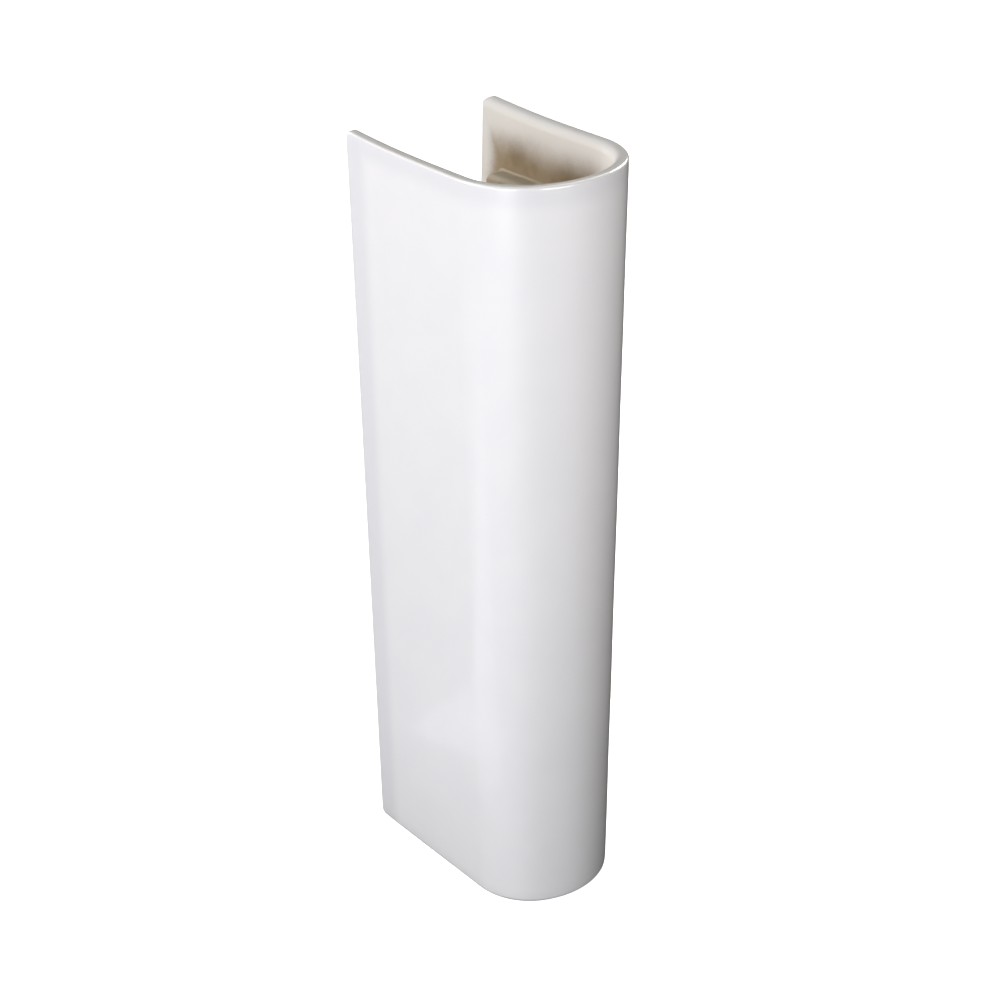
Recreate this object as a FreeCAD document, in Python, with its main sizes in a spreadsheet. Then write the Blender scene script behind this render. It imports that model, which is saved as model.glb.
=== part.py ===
import FreeCAD, Part
import math
import os
import Sketcher

# Basin pedestal in vitreous china: a tapering column, U-shaped in plan, with an open back and an
# open top, that hides the trap and pipes under a wash basin.
# Millimetres. +Z is up, -Y is the rounded nose and +Y the open back, which faces the wall.
# The origin is on the floor, under the centre of the bounding box.

Vector = FreeCAD.Vector

# Every driving dimension, in millimetres, or degrees where it says so: alias, value, meaning.
SIZES = [
    # the column
    ("height", 680.0, "floor to the flat part of the rim"),
    ("depth", 216.0, "nose to open back"),
    ("wall", 13.5, "thickness of the cast wall"),
    ("rim_nose_half", 80.3, "half width where the nose begins, at the rim"),
    ("rim_flare", -0.2, "how much wider each side stands at the back, at the rim"),
    ("rim_shoulder", 67.7, "plan radius of the nose's shoulders, at the rim"),
    ("foot_nose_half", 66.4, "half width where the nose begins, at the floor"),
    ("foot_flare", -5.0, "how much wider each side stands at the back, at the floor"),
    ("foot_shoulder", 57.8, "plan radius of the nose's shoulders, at the floor"),
    ("shoulder_turn", 64.0, "angle that each shoulder turns through, in degrees"),
    ("rim_rise", 4.0, "how far the rim climbs at its rear ends"),
    ("rim_run", 105.0, "length of rim over which it climbs"),
    ("rim_inner_round", 7.5, "rounding of the rim's inner edge"),
    ("rim_outer_round", 2.6, "rounding of the rim's outer edge"),
    ("foot_round", 2.8, "rounding of the foot's edges"),
    ("back_round", 2.0, "rounding round the two end faces at the back"),
    # the ledges under the rim, inside both walls
    ("ledge_drop", 54.0, "rim down to the top of a ledge"),
    ("ledge_reach", 17.0, "how far a ledge stands in from the wall"),
    ("ledge_gap", 25.0, "open back to the near end of a ledge"),
    ("ledge_long", 80.0, "length of a ledge, front to back"),
    ("ledge_face", 20.0, "height of a ledge's upright face"),
    ("ledge_slope", 135.0, "angle between a ledge's face and its underside, in degrees"),
    ("ledge_edge_round", 5.0, "rounding along a ledge's top edge"),
    ("ledge_end_round", 9.0, "rounding of a ledge's upright ends"),
    # the web across the back, at the floor
    ("tie_setback", 6.0, "open back to the web's rear face"),
    ("tie_thick", 13.0, "thickness of the web"),
    ("tie_tall", 48.0, "height of the web"),
    ("tie_round", 4.0, "rounding along the web's top"),
    # the screw lugs in the corners behind that web
    ("lug_reach", 29.0, "how far a lug stands in from the wall"),
    ("lug_long", 40.0, "length of a lug, front to back"),
    ("lug_tall", 18.0, "height of a lug"),
    ("lug_corner_round", 9.0, "plan rounding of a lug's free corner"),
    ("lug_top_round", 2.5, "rounding round a lug's top"),
    ("screw_inset", 14.0, "lug's free face in to the screw's axis"),
    # the nylon bushes in the lugs' holes
    ("screw_bore", 6.5, "bore of a bush, for a 6 mm floor screw"),
    ("bush_wall", 1.5, "wall of a bush's sleeve"),
    ("bush_clearance", 0.25, "radial gap between sleeve and lug"),
    ("flange_width", 16.0, "diameter of a bush's flange"),
    ("flange_thick", 2.0, "thickness of a bush's flange"),
    ("flange_round", 0.6, "rounding of the flange's upper edge"),
]

# How far cutting and trimming tools run past the piece that they shape.
OVERRUN = 10.0
# How near two values are to count as the same place when an edge is picked out.
NEAR = 0.05

# A sketch's numbers for a line's or arc's points, and for its own origin and axes.
START = 1
END = 2
CENTRE = 3
ORIGIN = -1
LEVEL_AXIS = -1
UPRIGHT_AXIS = -2

# Places that more than one piece shares.
TOP = "sizes.height + sizes.rim_rise"
LEDGE_FACE_X = "sizes.rim_nose_half - sizes.wall - sizes.ledge_reach"
LEDGE_TOP = "sizes.height - sizes.ledge_drop"
LUG_FACE_X = "sizes.foot_nose_half - sizes.wall - sizes.lug_reach"
LUG_REAR_Y = "sizes.depth / 2 - sizes.tie_setback - sizes.tie_thick"
SCREW_X = LUG_FACE_X + " + sizes.screw_inset"
SCREW_Y = LUG_REAR_Y + " - sizes.lug_long / 2"


def make_sheet(doc):
    """Put the driving dimensions in a spreadsheet, one alias each."""
    sheet = doc.addObject("Spreadsheet::Sheet", "sizes")
    for row, (alias, value, meaning) in enumerate(SIZES, start=1):
        sheet.set("A%d" % row, meaning)
        sheet.set("B%d" % row, str(value))
        sheet.setAlias("B%d" % row, alias)
    doc.recompute()


def origin_plane(body, role):
    """Return one of a body's own origin planes."""
    for feature in body.Origin.OriginFeatures:
        if feature.Role == role:
            return feature
    raise ValueError("no plane " + role)


def new_body(doc, label):
    """Add an empty body with its own label."""
    body = doc.addObject("PartDesign::Body", label)
    body.Label = label
    return body


def new_sketch(body, name, role, offset=None):
    """Add a sketch on one of the body's origin planes, lifted off it by an expression."""
    sketch = body.newObject("Sketcher::SketchObject", name)
    sketch.AttachmentSupport = [(origin_plane(body, role), "")]
    sketch.MapMode = "FlatFace"
    if offset:
        sketch.setExpression("AttachmentOffset.Base.z", offset)
    return sketch


def amount(sheet, expression):
    """Work out an expression of driving dimensions, such as "sizes.depth / 2"."""
    return float(sheet.evalExpression(expression))


def dimension(sketch, kind, points, name, expression):
    """Add a named dimension to a sketch and bind it to the sheet. An angle is in degrees."""
    value = amount(sketch, expression)
    if kind == "Angle":
        value = math.radians(value)
    index = sketch.addConstraint(Sketcher.Constraint(kind, *points, value))
    sketch.renameConstraint(index, name)
    sketch.setExpression("Constraints." + name, expression)


# ---------------------------------------------------------------- the column's plan

def column_outline(body, name, end, inset="", level=None, rear_overrun=0.0):
    """Sketch the U-shaped plan: straight sides, a shoulder arc each side and a front arc.

    The shoulders turn through the same angle at the rim and at the foot, so that the faces
    between the two outlines run smoothly into each other. end is "rim" or "foot", inset is an
    expression for how far the outline lies inside the column's outside, level is one for its
    height, and rear_overrun is how far it runs out past the open back.
    """
    sketch = new_sketch(body, name, "XY_Plane", level)
    less = " - " + inset if inset else ""
    tip_size = "sizes.depth / 2" + less
    rear_size = "sizes.depth / 2 + %g" % rear_overrun
    nose_size = "sizes.%s_nose_half%s" % (end, less)
    back_size = "sizes.%s_nose_half + sizes.%s_flare%s" % (end, end, less)
    shoulder_size = "sizes.%s_shoulder%s" % (end, less)

    # the arcs' radii and centres, worked out so that the sketch starts in its solved shape
    tip = -amount(sketch, tip_size)
    rear = amount(sketch, rear_size)
    nose_half = amount(sketch, nose_size)
    back_half = amount(sketch, back_size)
    shoulder = amount(sketch, shoulder_size)
    turn = math.radians(amount(sketch, "sizes.shoulder_turn"))
    shoulder_x = nose_half - shoulder
    front = shoulder + shoulder_x / math.cos(turn)
    front_y = tip + front
    shoulder_y = front_y - shoulder_x * math.tan(turn)

    def line(start, stop):
        return sketch.addGeometry(Part.LineSegment(Vector(*start, 0), Vector(*stop, 0)))

    def arc(x, y, radius, start, stop):
        circle = Part.Circle(Vector(x, y, 0), Vector(0, 0, 1), radius)
        return sketch.addGeometry(Part.ArcOfCircle(circle, start, stop))

    back = line((-back_half, rear), (back_half, rear))
    side_right = line((back_half, rear), (nose_half, shoulder_y))
    arc_right = arc(shoulder_x, shoulder_y, shoulder, -turn, 0.0)
    arc_front = arc(0, front_y, front, turn - math.pi, -turn)
    arc_left = arc(-shoulder_x, shoulder_y, shoulder, math.pi, turn + math.pi)
    side_left = line((-nose_half, shoulder_y), (-back_half, rear))
    tip_point = sketch.addGeometry(Part.Point(Vector(0, tip, 0)))

    join = Sketcher.Constraint
    sketch.addConstraint([
        join("Coincident", back, END, side_right, START),
        join("Coincident", side_left, END, back, START),
        join("Tangent", side_right, END, arc_right, END),
        join("Tangent", arc_right, START, arc_front, END),
        join("Tangent", arc_front, START, arc_left, END),
        join("Tangent", arc_left, START, side_left, START),
        join("Symmetric", back, START, back, END, UPRIGHT_AXIS),
        join("Symmetric", side_left, START, side_right, END, UPRIGHT_AXIS),
        join("PointOnObject", arc_front, CENTRE, UPRIGHT_AXIS),
        join("PointOnObject", tip_point, START, UPRIGHT_AXIS),
        join("PointOnObject", tip_point, START, arc_front),
    ])
    dimension(sketch, "DistanceY", (ORIGIN, START, back, START), "rear", rear_size)
    dimension(sketch, "DistanceY", (tip_point, START, ORIGIN, START), "tip", tip_size)
    dimension(sketch, "DistanceX", (ORIGIN, START, side_right, START), "back_half", back_size)
    dimension(sketch, "DistanceX", (ORIGIN, START, side_right, END), "nose_half", nose_size)
    dimension(sketch, "Radius", (arc_right,), "shoulder", shoulder_size)
    dimension(sketch, "Angle", (arc_right,), "turn", "sizes.shoulder_turn")
    return sketch


def loft(body, kind, name, lower, upper):
    """Join two outlines with straight rulings."""
    feature = body.newObject("PartDesign::" + kind, name)
    feature.Profile = lower
    feature.Sections = [upper]
    feature.Ruled = True
    return feature


def inner_loft(body, kind):
    """Loft the space inside the column, run out past its open back."""
    lower = column_outline(body, "inside_foot", "foot", "sizes.wall", None, OVERRUN)
    upper = column_outline(body, "inside_rim", "rim", "sizes.wall", TOP, OVERRUN)
    return loft(body, kind, "inside", lower, upper)


def make_channel(doc):
    """Make the space inside the column as a solid, which trims everything fixed to its walls."""
    body = new_body(doc, "channel")
    inner_loft(body, "AdditiveLoft")
    doc.recompute()
    return body


# ---------------------------------------------------------------- the column

def rim_profile(body):
    """Sketch, seen from the side, the material above the rim's line."""
    sketch = new_sketch(body, "rim_profile", "YZ_Plane")
    height = amount(sketch, "sizes.height")
    rise = amount(sketch, "sizes.rim_rise")
    run = amount(sketch, "sizes.rim_run")
    rear = amount(sketch, "sizes.depth / 2")
    radius = (run ** 2 + rise ** 2) / (2 * rise)
    bend = rear - run
    above = height + rise + OVERRUN
    fore = -rear - OVERRUN

    def line(start, stop):
        return sketch.addGeometry(Part.LineSegment(Vector(*start, 0), Vector(*stop, 0)))

    circle = Part.Circle(Vector(bend, height + radius, 0), Vector(0, 0, 1), radius)
    stop = math.atan2(rise - radius, run)
    flat = line((fore, height), (bend, height))
    climb = sketch.addGeometry(Part.ArcOfCircle(circle, -math.pi / 2, stop))
    back = line((rear, height + rise), (rear, above))
    lid = line((rear, above), (fore, above))
    front = line((fore, above), (fore, height))
    join = Sketcher.Constraint
    sketch.addConstraint([
        join("Horizontal", flat),
        join("Tangent", flat, END, climb, START),
        join("Coincident", climb, END, back, START),
        join("Vertical", back),
        join("Coincident", back, END, lid, START),
        join("Horizontal", lid),
        join("Coincident", lid, END, front, START),
        join("Vertical", front),
        join("Coincident", front, END, flat, START),
    ])
    dimension(sketch, "DistanceY", (ORIGIN, START, flat, END), "height", "sizes.height")
    dimension(sketch, "DistanceX", (flat, END, back, START), "run", "sizes.rim_run")
    dimension(sketch, "DistanceY", (flat, END, back, START), "rise", "sizes.rim_rise")
    dimension(sketch, "DistanceX", (ORIGIN, START, back, START), "rear", "sizes.depth / 2")
    dimension(sketch, "DistanceX", (flat, START, ORIGIN, START), "fore",
              "sizes.depth / 2 + %g" % OVERRUN)
    dimension(sketch, "DistanceY", (back, START, back, END), "above", "%g" % OVERRUN)
    return sketch


def cut_through(doc, body, name, sketch):
    """Cut a sketch through the whole body, both ways, and make sure that it cuts something."""
    doc.recompute()
    whole = body.Shape.Volume
    pocket = body.newObject("PartDesign::Pocket", name)
    pocket.Profile = sketch
    pocket.Type = "ThroughAll"
    pocket.SideType = "Symmetric"
    body.Tip = pocket
    doc.recompute()
    if not body.Shape.Volume < whole:
        raise ValueError(name + " cuts nothing")


def edges_named(shape, wanted):
    """Return the names of the edges whose middle point and vertices pass a test."""
    names = []
    for number, edge in enumerate(shape.Edges, start=1):
        middle = edge.valueAt((edge.FirstParameter + edge.LastParameter) / 2)
        if wanted(middle, [vertex.Point for vertex in edge.Vertexes]):
            names.append("Edge%d" % number)
    return names


def round_edges(doc, body, name, wanted, radius):
    """Round the body's edges that pass a test, with a radius bound to the sheet."""
    doc.recompute()
    before = body.Tip
    names = edges_named(before.Shape, wanted)
    if not names:
        raise ValueError("no edges for " + name)
    fillet = body.newObject("PartDesign::Fillet", name)
    fillet.Base = (before, names)
    fillet.Refine = False
    fillet.setExpression("Radius", radius)
    body.Tip = fillet
    doc.recompute()
    return fillet


def on_surface(solid, point):
    """Say whether a point lies on a solid's skin."""
    return min(face.distToShape(Part.Vertex(point))[0] for face in solid.Faces) < NEAR


def make_shell(doc, channel):
    """Make the column: outer loft, less the channel, with its rim line and rounded edges."""
    body = new_body(doc, "shell")
    lower = column_outline(body, "outside_foot", "foot")
    upper = column_outline(body, "outside_rim", "rim", "", TOP)
    outside = loft(body, "AdditiveLoft", "outside", lower, upper)
    inner_loft(body, "SubtractiveLoft")
    cut_through(doc, body, "rim_line", rim_profile(body))
    height = amount(body, "sizes.height")
    rear = amount(body, "sizes.depth / 2")

    def at_back(points):
        return all(abs(point.y - rear) < NEAR for point in points)

    def along_rim(middle, points):
        return middle.z > height - NEAR and not at_back(points)

    def rim_outer(middle, points):
        return along_rim(middle, points) and on_surface(outside.Shape, middle)

    def rim_inner(middle, points):
        return along_rim(middle, points) and on_surface(channel.Shape, middle)

    def foot_edges(middle, points):
        return middle.z < NEAR and not at_back(points)

    def end_faces(middle, points):
        return at_back(points + [middle])

    round_edges(doc, body, "rim_outer_rounding", rim_outer, "sizes.rim_outer_round")
    round_edges(doc, body, "rim_inner_rounding", rim_inner, "sizes.rim_inner_round")
    round_edges(doc, body, "foot_rounding", foot_edges, "sizes.foot_round")
    round_edges(doc, body, "back_rounding", end_faces, "sizes.back_round")
    return body


# ---------------------------------------------------------------- members fixed to the walls

def polygon(sketch, corners, directions):
    """Sketch a closed outline through some corners and return its lines' numbers.

    directions has one letter for each line: H for level, V for upright, - for neither.
    """
    lines = []
    for start, stop in zip(corners, corners[1:] + corners[:1]):
        lines.append(sketch.addGeometry(Part.LineSegment(Vector(*start, 0), Vector(*stop, 0))))
    for line, following in zip(lines, lines[1:] + lines[:1]):
        sketch.addConstraint(Sketcher.Constraint("Coincident", line, END, following, START))
    kinds = {"H": "Horizontal", "V": "Vertical"}
    for line, direction in zip(lines, directions):
        if direction in kinds:
            sketch.addConstraint(Sketcher.Constraint(kinds[direction], line))
    return lines


def pad(body, name, sketch, length):
    """Extrude a sketch along its own normal by an expression."""
    feature = body.newObject("PartDesign::Pad", name)
    feature.Profile = sketch
    feature.setExpression("Length", length)
    body.Tip = feature
    return feature


def trimmed(doc, label, block, channel):
    """Keep the part of a block that lies in the channel, so that it meets the walls exactly."""
    common = doc.addObject("Part::Common", label)
    common.Label = label
    common.Base = block
    common.Tool = channel
    return common


def mirrored(doc, label, source):
    """Make the left-hand copy of a right-hand piece."""
    mirror = doc.addObject("Part::Mirroring", label)
    mirror.Label = label
    mirror.Source = source
    mirror.Base = Vector(0, 0, 0)
    mirror.Normal = Vector(1, 0, 0)
    return mirror


def make_ledge_block(doc):
    """Make the right-hand ledge before trimming: flat top, upright face, sloping underside."""
    body = new_body(doc, "ledge_block")
    near_end = "-(sizes.depth / 2 - sizes.ledge_gap)"
    sketch = new_sketch(body, "ledge_section", "XZ_Plane", near_end)
    face_x = amount(sketch, LEDGE_FACE_X)
    outer_x = amount(sketch, "sizes.rim_nose_half")
    top = amount(sketch, LEDGE_TOP)
    low = top - amount(sketch, "sizes.ledge_face")
    under = low - (outer_x - face_x)
    corners = [(face_x, top), (outer_x, top), (outer_x, under), (face_x, low)]
    lid, buried, slope, face = polygon(sketch, corners, "HV-V")
    dimension(sketch, "Angle", (slope, START, face, END), "slope", "sizes.ledge_slope")
    dimension(sketch, "DistanceX", (ORIGIN, START, face, START), "face_x", LEDGE_FACE_X)
    dimension(sketch, "DistanceX", (ORIGIN, START, buried, START), "outer_x",
              "sizes.rim_nose_half")
    dimension(sketch, "DistanceY", (ORIGIN, START, lid, START), "top", LEDGE_TOP)
    dimension(sketch, "DistanceY", (face, START, face, END), "face_tall", "sizes.ledge_face")
    pad(body, "ledge", sketch, "sizes.ledge_long")

    def upright_ends(middle, points):
        return all(abs(point.x - face_x) < NEAR for point in points) \
            and abs(points[0].z - points[-1].z) > 1

    def top_edges(middle, points):
        return middle.z > top - NEAR and middle.x < outer_x - NEAR

    round_edges(doc, body, "ledge_ends", upright_ends, "sizes.ledge_end_round")
    round_edges(doc, body, "ledge_top_edge", top_edges, "sizes.ledge_edge_round")
    return body


def make_tie_block(doc):
    """Make the web across the back before trimming, with a rounded top."""
    body = new_body(doc, "tie_block")
    sketch = new_sketch(body, "tie_section", "YZ_Plane")
    rear = amount(sketch, "sizes.depth / 2 - sizes.tie_setback")
    front = amount(sketch, LUG_REAR_Y)
    tall = amount(sketch, "sizes.tie_tall")
    corners = [(front, 0), (rear, 0), (rear, tall), (front, tall)]
    floor, back, lid, face = polygon(sketch, corners, "HVHV")
    sketch.addConstraint(Sketcher.Constraint("PointOnObject", floor, START, LEVEL_AXIS))
    dimension(sketch, "DistanceX", (ORIGIN, START, back, START), "rear",
              "sizes.depth / 2 - sizes.tie_setback")
    dimension(sketch, "DistanceX", (floor, START, floor, END), "thick", "sizes.tie_thick")
    dimension(sketch, "DistanceY", (back, START, back, END), "tall", "sizes.tie_tall")
    web = pad(body, "web", sketch, "2 * sizes.foot_nose_half")
    web.SideType = "Symmetric"

    def top_edges(middle, points):
        return middle.z > tall - NEAR and abs(middle.x) < NEAR

    round_edges(doc, body, "web_top", top_edges, "sizes.tie_round")
    return body


def make_lug_block(doc):
    """Make the right-hand screw lug before trimming, with its upright screw hole."""
    body = new_body(doc, "lug_block")
    sketch = new_sketch(body, "lug_plan", "XY_Plane")
    face_x = amount(sketch, LUG_FACE_X)
    outer_x = amount(sketch, "sizes.foot_nose_half")
    rear = amount(sketch, LUG_REAR_Y)
    front = rear - amount(sketch, "sizes.lug_long")
    tall = amount(sketch, "sizes.lug_tall")
    corners = [(face_x, front), (outer_x, front), (outer_x, rear), (face_x, rear)]
    near, buried, back, face = polygon(sketch, corners, "HVHV")
    dimension(sketch, "DistanceX", (ORIGIN, START, near, START), "face_x", LUG_FACE_X)
    dimension(sketch, "DistanceX", (ORIGIN, START, buried, START), "outer_x",
              "sizes.foot_nose_half")
    dimension(sketch, "DistanceY", (ORIGIN, START, back, START), "rear", LUG_REAR_Y)
    dimension(sketch, "DistanceY", (buried, START, buried, END), "long_side", "sizes.lug_long")
    pad(body, "lug", sketch, "sizes.lug_tall")

    def free_corner(middle, points):
        return all(abs(point.x - face_x) < NEAR and abs(point.y - front) < NEAR
                   for point in points)

    def top_edges(middle, points):
        return middle.z > tall - NEAR and middle.x < outer_x - NEAR and middle.y < rear - NEAR

    round_edges(doc, body, "lug_corner", free_corner, "sizes.lug_corner_round")
    round_edges(doc, body, "lug_top", top_edges, "sizes.lug_top_round")

    plan = new_sketch(body, "hole_plan", "XY_Plane")
    hole_size = "sizes.screw_bore / 2 + sizes.bush_wall + sizes.bush_clearance"
    centre = Vector(amount(plan, SCREW_X), amount(plan, SCREW_Y), 0)
    hole = plan.addGeometry(Part.Circle(centre, Vector(0, 0, 1), amount(plan, hole_size)))
    dimension(plan, "DistanceX", (ORIGIN, START, hole, CENTRE), "screw_x", SCREW_X)
    dimension(plan, "DistanceY", (ORIGIN, START, hole, CENTRE), "screw_y", SCREW_Y)
    dimension(plan, "Radius", (hole,), "hole_radius", hole_size)
    cut_through(doc, body, "screw_hole", plan)
    return body


def make_bush(doc):
    """Make the right-hand bush: a sleeve through the lug under a flange that sits on its top."""
    body = new_body(doc, "bush_right")
    body.setExpression("Placement.Base.x", SCREW_X)
    body.setExpression("Placement.Base.y", SCREW_Y)
    sketch = new_sketch(body, "bush_section", "XZ_Plane")
    bore = amount(sketch, "sizes.screw_bore / 2")
    sleeve = bore + amount(sketch, "sizes.bush_wall")
    flange = amount(sketch, "sizes.flange_width / 2")
    seat = amount(sketch, "sizes.lug_tall")
    lid = seat + amount(sketch, "sizes.flange_thick")
    corners = [(bore, 0), (sleeve, 0), (sleeve, seat), (flange, seat), (flange, lid), (bore, lid)]
    foot, outside, under, edge, top, inside = polygon(sketch, corners, "HVHVHV")
    sketch.addConstraint(Sketcher.Constraint("PointOnObject", foot, START, LEVEL_AXIS))
    dimension(sketch, "DistanceX", (ORIGIN, START, foot, START), "bore", "sizes.screw_bore / 2")
    dimension(sketch, "DistanceX", (foot, START, foot, END), "skin", "sizes.bush_wall")
    dimension(sketch, "DistanceX", (ORIGIN, START, edge, START), "flange",
              "sizes.flange_width / 2")
    dimension(sketch, "DistanceY", (outside, START, outside, END), "seat", "sizes.lug_tall")
    dimension(sketch, "DistanceY", (edge, START, edge, END), "thick", "sizes.flange_thick")
    turned = body.newObject("PartDesign::Revolution", "bush")
    turned.Profile = sketch
    turned.ReferenceAxis = (sketch, ["V_Axis"])
    turned.Angle = 360.0
    body.Tip = turned

    def flange_edge(middle, points):
        return middle.z > lid - NEAR and abs(points[0].x) > flange - NEAR

    round_edges(doc, body, "flange_edge", flange_edge, "sizes.flange_round")
    return body


# ---------------------------------------------------------------- the whole object

def build(doc):
    """Build every piece and return the ones to write, in order."""
    make_sheet(doc)
    channel = make_channel(doc)
    shell = make_shell(doc, channel)
    ledge_right = trimmed(doc, "ledge_right", make_ledge_block(doc), channel)
    ledge_left = mirrored(doc, "ledge_left", ledge_right)
    cross_tie = trimmed(doc, "cross_tie", make_tie_block(doc), channel)
    lug_right = trimmed(doc, "screw_lug_right", make_lug_block(doc), channel)
    lug_left = mirrored(doc, "screw_lug_left", lug_right)
    bush_right = make_bush(doc)
    bush_left = mirrored(doc, "bush_left", bush_right)
    doc.recompute()
    return [shell, ledge_left, ledge_right, cross_tie, lug_left, lug_right, bush_left, bush_right]


def check(doc, pieces):
    """Stop if any feature failed or any piece is not one sound solid."""
    for item in doc.Objects:
        if "Invalid" in item.State or "Error" in item.State:
            raise ValueError("failed feature: " + item.Name)
    for piece in pieces:
        shape = piece.Shape
        if shape.isNull() or not shape.isValid() or len(shape.Solids) != 1:
            raise ValueError("unsound piece: " + piece.Label)


def main():
    """Build the pedestal and write one STEP file for each piece."""
    doc = FreeCAD.newDocument("pedestal")
    pieces = build(doc)
    check(doc, pieces)
    os.makedirs("parts", exist_ok=True)
    for piece in pieces:
        piece.Shape.exportStep(os.path.join("parts", piece.Label + ".step"))
        box = piece.Shape.BoundBox
        print("%-16s %10.0f mm3  z %7.2f to %7.2f" % (
            piece.Label, piece.Shape.Volume, box.ZMin, box.ZMax))


main()
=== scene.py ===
"""Looks of a basin pedestal in vitreous china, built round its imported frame.

The column is a cast, glazed wall, U-shaped in plan. Inside it are two ledges, a cross tie and two
screw lugs, luted to the wall before firing, and each lug holds a nylon bush. Lengths in the
dataclasses are millimetres. Meshes are metres, in the frame's own axes: +Z up, -Y the nose.
"""

import logging
import math
from dataclasses import dataclass, field
from enum import Enum
from typing import Callable, Iterable, Sequence

import bmesh
import bpy
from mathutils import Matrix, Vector, noise


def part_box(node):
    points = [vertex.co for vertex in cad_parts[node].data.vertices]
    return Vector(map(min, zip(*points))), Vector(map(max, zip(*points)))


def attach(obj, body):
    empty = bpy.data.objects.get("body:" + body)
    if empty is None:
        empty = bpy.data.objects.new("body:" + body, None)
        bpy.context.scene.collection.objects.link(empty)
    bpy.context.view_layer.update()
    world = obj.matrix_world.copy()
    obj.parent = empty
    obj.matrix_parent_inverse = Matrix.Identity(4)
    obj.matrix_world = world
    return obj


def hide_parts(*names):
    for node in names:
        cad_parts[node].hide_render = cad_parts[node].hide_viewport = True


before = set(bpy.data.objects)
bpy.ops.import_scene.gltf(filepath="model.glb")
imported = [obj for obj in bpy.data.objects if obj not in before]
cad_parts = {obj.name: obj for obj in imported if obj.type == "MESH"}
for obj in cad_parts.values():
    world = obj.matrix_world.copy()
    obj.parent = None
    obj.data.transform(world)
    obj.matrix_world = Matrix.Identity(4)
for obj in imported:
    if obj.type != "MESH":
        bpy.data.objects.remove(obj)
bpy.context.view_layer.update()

MM = 0.001
LOG = logging.getLogger("pedestal")


class Side(Enum):
    """Which wall a piece is on. The value is the sign of its X."""

    LEFT = -1
    RIGHT = 1

    @property
    def word(self) -> str:
        """Return the side as it stands in node names."""
        return self.name.lower()


class Slot(Enum):
    """The material slots."""

    GLAZED = "glazed_china"
    RAW = "raw_china"
    NYLON = "nylon"


class Ends(Enum):
    """What grow_rings does with its first and last ring."""

    CAPPED = "close both"
    OPEN_LAST = "close the first only"
    JOINED = "join the last to the first"


# ---------------------------------------------------------------- small helpers

def lerp(start: float, stop: float, share: float) -> float:
    """Return the value a share of the way from start to stop."""
    return start + (stop - start) * share


def shares(steps: int) -> list[float]:
    """List even shares from 0 to 1, both included."""
    return [step / steps for step in range(steps + 1)]


def quarter(steps: int) -> list[tuple[float, float]]:
    """List (1 - cos, 1 - sin) through a quarter turn: one grows to 1, the other shrinks to 0."""
    angles = [math.radians(90) * share for share in shares(steps)]
    return [(1 - math.cos(angle), 1 - math.sin(angle)) for angle in angles]


def linear(hex_colour: str) -> tuple[float, float, float, float]:
    """Turn an sRGB hex colour into linear RGBA.

    Args:
        hex_colour: six hex digits, with or without a leading #.

    Returns:
        Linear red, green, blue, and an alpha of 1.
    """
    digits = hex_colour.lstrip("#")
    parts = [int(digits[place:place + 2], 16) / 255 for place in (0, 2, 4)]
    red, green, blue = [
        part / 12.92 if part <= 0.04045 else ((part + 0.055) / 1.055) ** 2.4 for part in parts
    ]
    return red, green, blue, 1.0


def add_node(tree: bpy.types.NodeTree, kind: str, settings: dict | None = None,
             links: dict | None = None) -> bpy.types.Node:
    """Add a node, set its properties and sockets, and link its inputs.

    Args:
        tree: the node tree to add to.
        kind: the node's type, without the leading ShaderNode.
        settings: node properties by name, or input values by socket name or number.
        links: output sockets by the input's name or number.

    Returns:
        The new node.
    """
    node = tree.nodes.new("ShaderNode" + kind)
    for name, value in (settings or {}).items():
        if isinstance(name, str) and hasattr(node, name):
            setattr(node, name, value)
        else:
            node.inputs[name].default_value = value
    for name, output in (links or {}).items():
        tree.links.new(output, node.inputs[name])
    return node


def finish_mesh(shape: bmesh.types.BMesh, name: str) -> bpy.types.Object:
    """Turn a bmesh into a smooth-shaded object at the origin, with its faces outwards.

    Args:
        shape: the finished bmesh, which is freed.
        name: the object's name.

    Returns:
        The new object, linked to the scene.
    """
    bmesh.ops.remove_doubles(shape, verts=shape.verts, dist=1e-6)
    bmesh.ops.recalc_face_normals(shape, faces=shape.faces)
    for face in shape.faces:
        face.smooth = True
    mesh = bpy.data.meshes.new(name)
    shape.to_mesh(mesh)
    shape.free()
    piece = bpy.data.objects.new(name, mesh)
    bpy.context.scene.collection.objects.link(piece)
    return piece


def dress(piece: bpy.types.Object, material: bpy.types.Material,
          stands_for: Sequence[str] = ()) -> None:
    """Give a piece its material, fix it to the body and hide what it stands for.

    Args:
        piece: the finished piece.
        material: the material to wear.
        stands_for: the CAD nodes that the piece replaces.
    """
    piece.data.materials.clear()
    piece.data.materials.append(material)
    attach(piece, "root")
    if stands_for:
        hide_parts(*stands_for)
    LOG.info("%s: %d faces, %s", piece.name, len(piece.data.polygons), material.name)


def extrude_edges(shape: bmesh.types.BMesh, edges: list[bmesh.types.BMEdge]
                  ) -> tuple[set[bmesh.types.BMVert], list[bmesh.types.BMEdge]]:
    """Extrude a chain of edges and return the new vertices and the new chain."""
    grown = bmesh.ops.extrude_edge_only(shape, edges=edges)["geom"]
    verts = {item for item in grown if isinstance(item, bmesh.types.BMVert)}
    chain = [item for item in grown if isinstance(item, bmesh.types.BMEdge)
             and item.verts[0] in verts and item.verts[1] in verts]
    return verts, chain


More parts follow.
